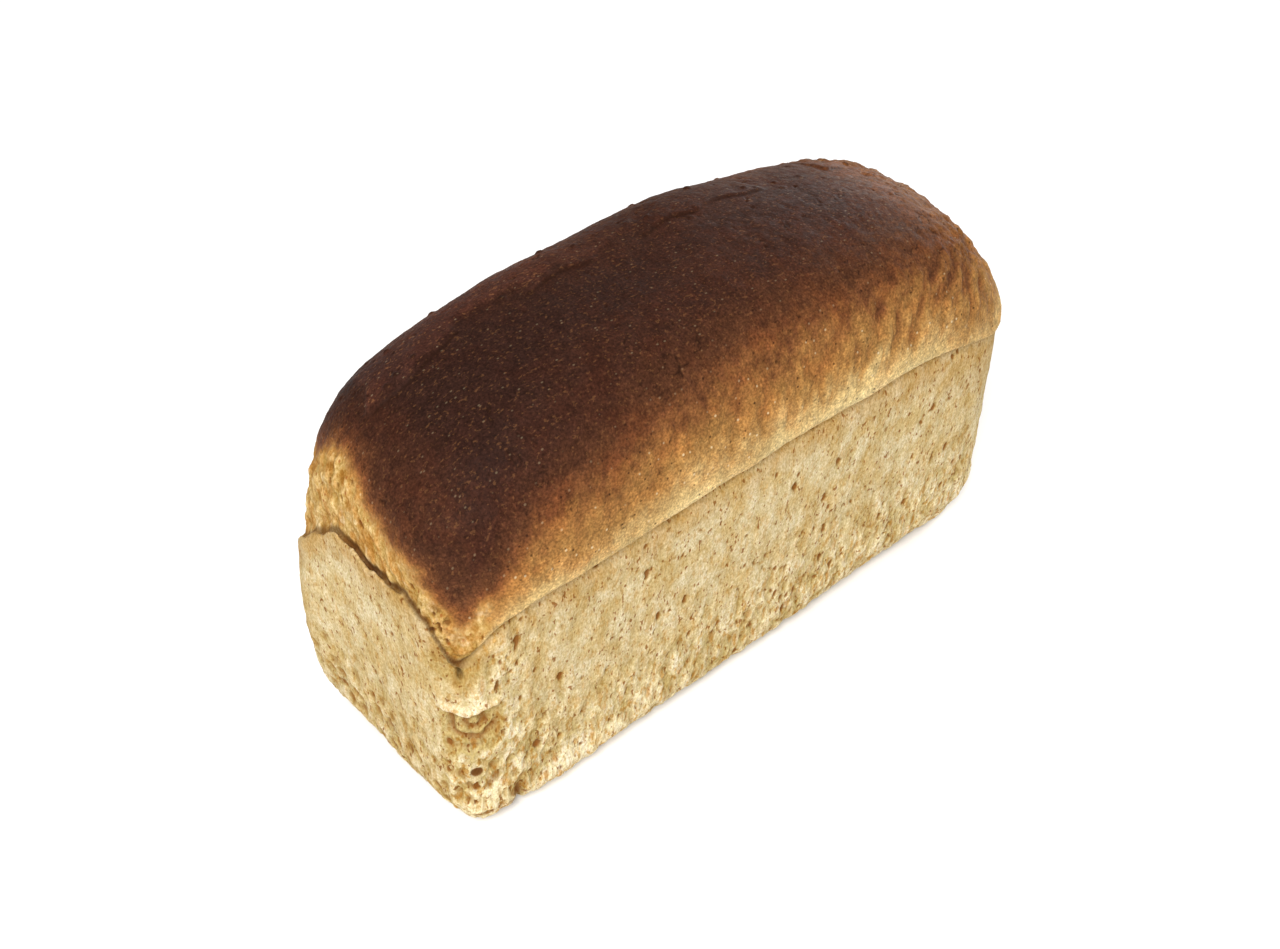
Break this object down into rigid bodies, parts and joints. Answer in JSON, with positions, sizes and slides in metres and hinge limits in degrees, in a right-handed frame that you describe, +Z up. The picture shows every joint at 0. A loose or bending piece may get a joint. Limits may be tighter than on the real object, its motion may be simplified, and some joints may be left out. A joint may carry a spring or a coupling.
{
  "type": "tin loaf",
  "caption": "Whole unsliced tin loaf with a dark domed crust overhanging pale, straight tin-baked sides; stands on its flat bottom.",
  "frame": {"origin": "centre of the loaf's footprint box, on the surface that it rests on", "axes": "+X along the length, towards the end where the crust slopes down; +Y across the width; +Z up through the domed crust"},
  "size_m": [0.2498, 0.096, 0.155],
  "materials": {
    "crust": "matt baked bread crust: dark brown on the dome, pale tan on the tin-baked sides"
  },
  "bodies": {
    "root": {"loaf": "crust"}
  },
  "joints": []
}
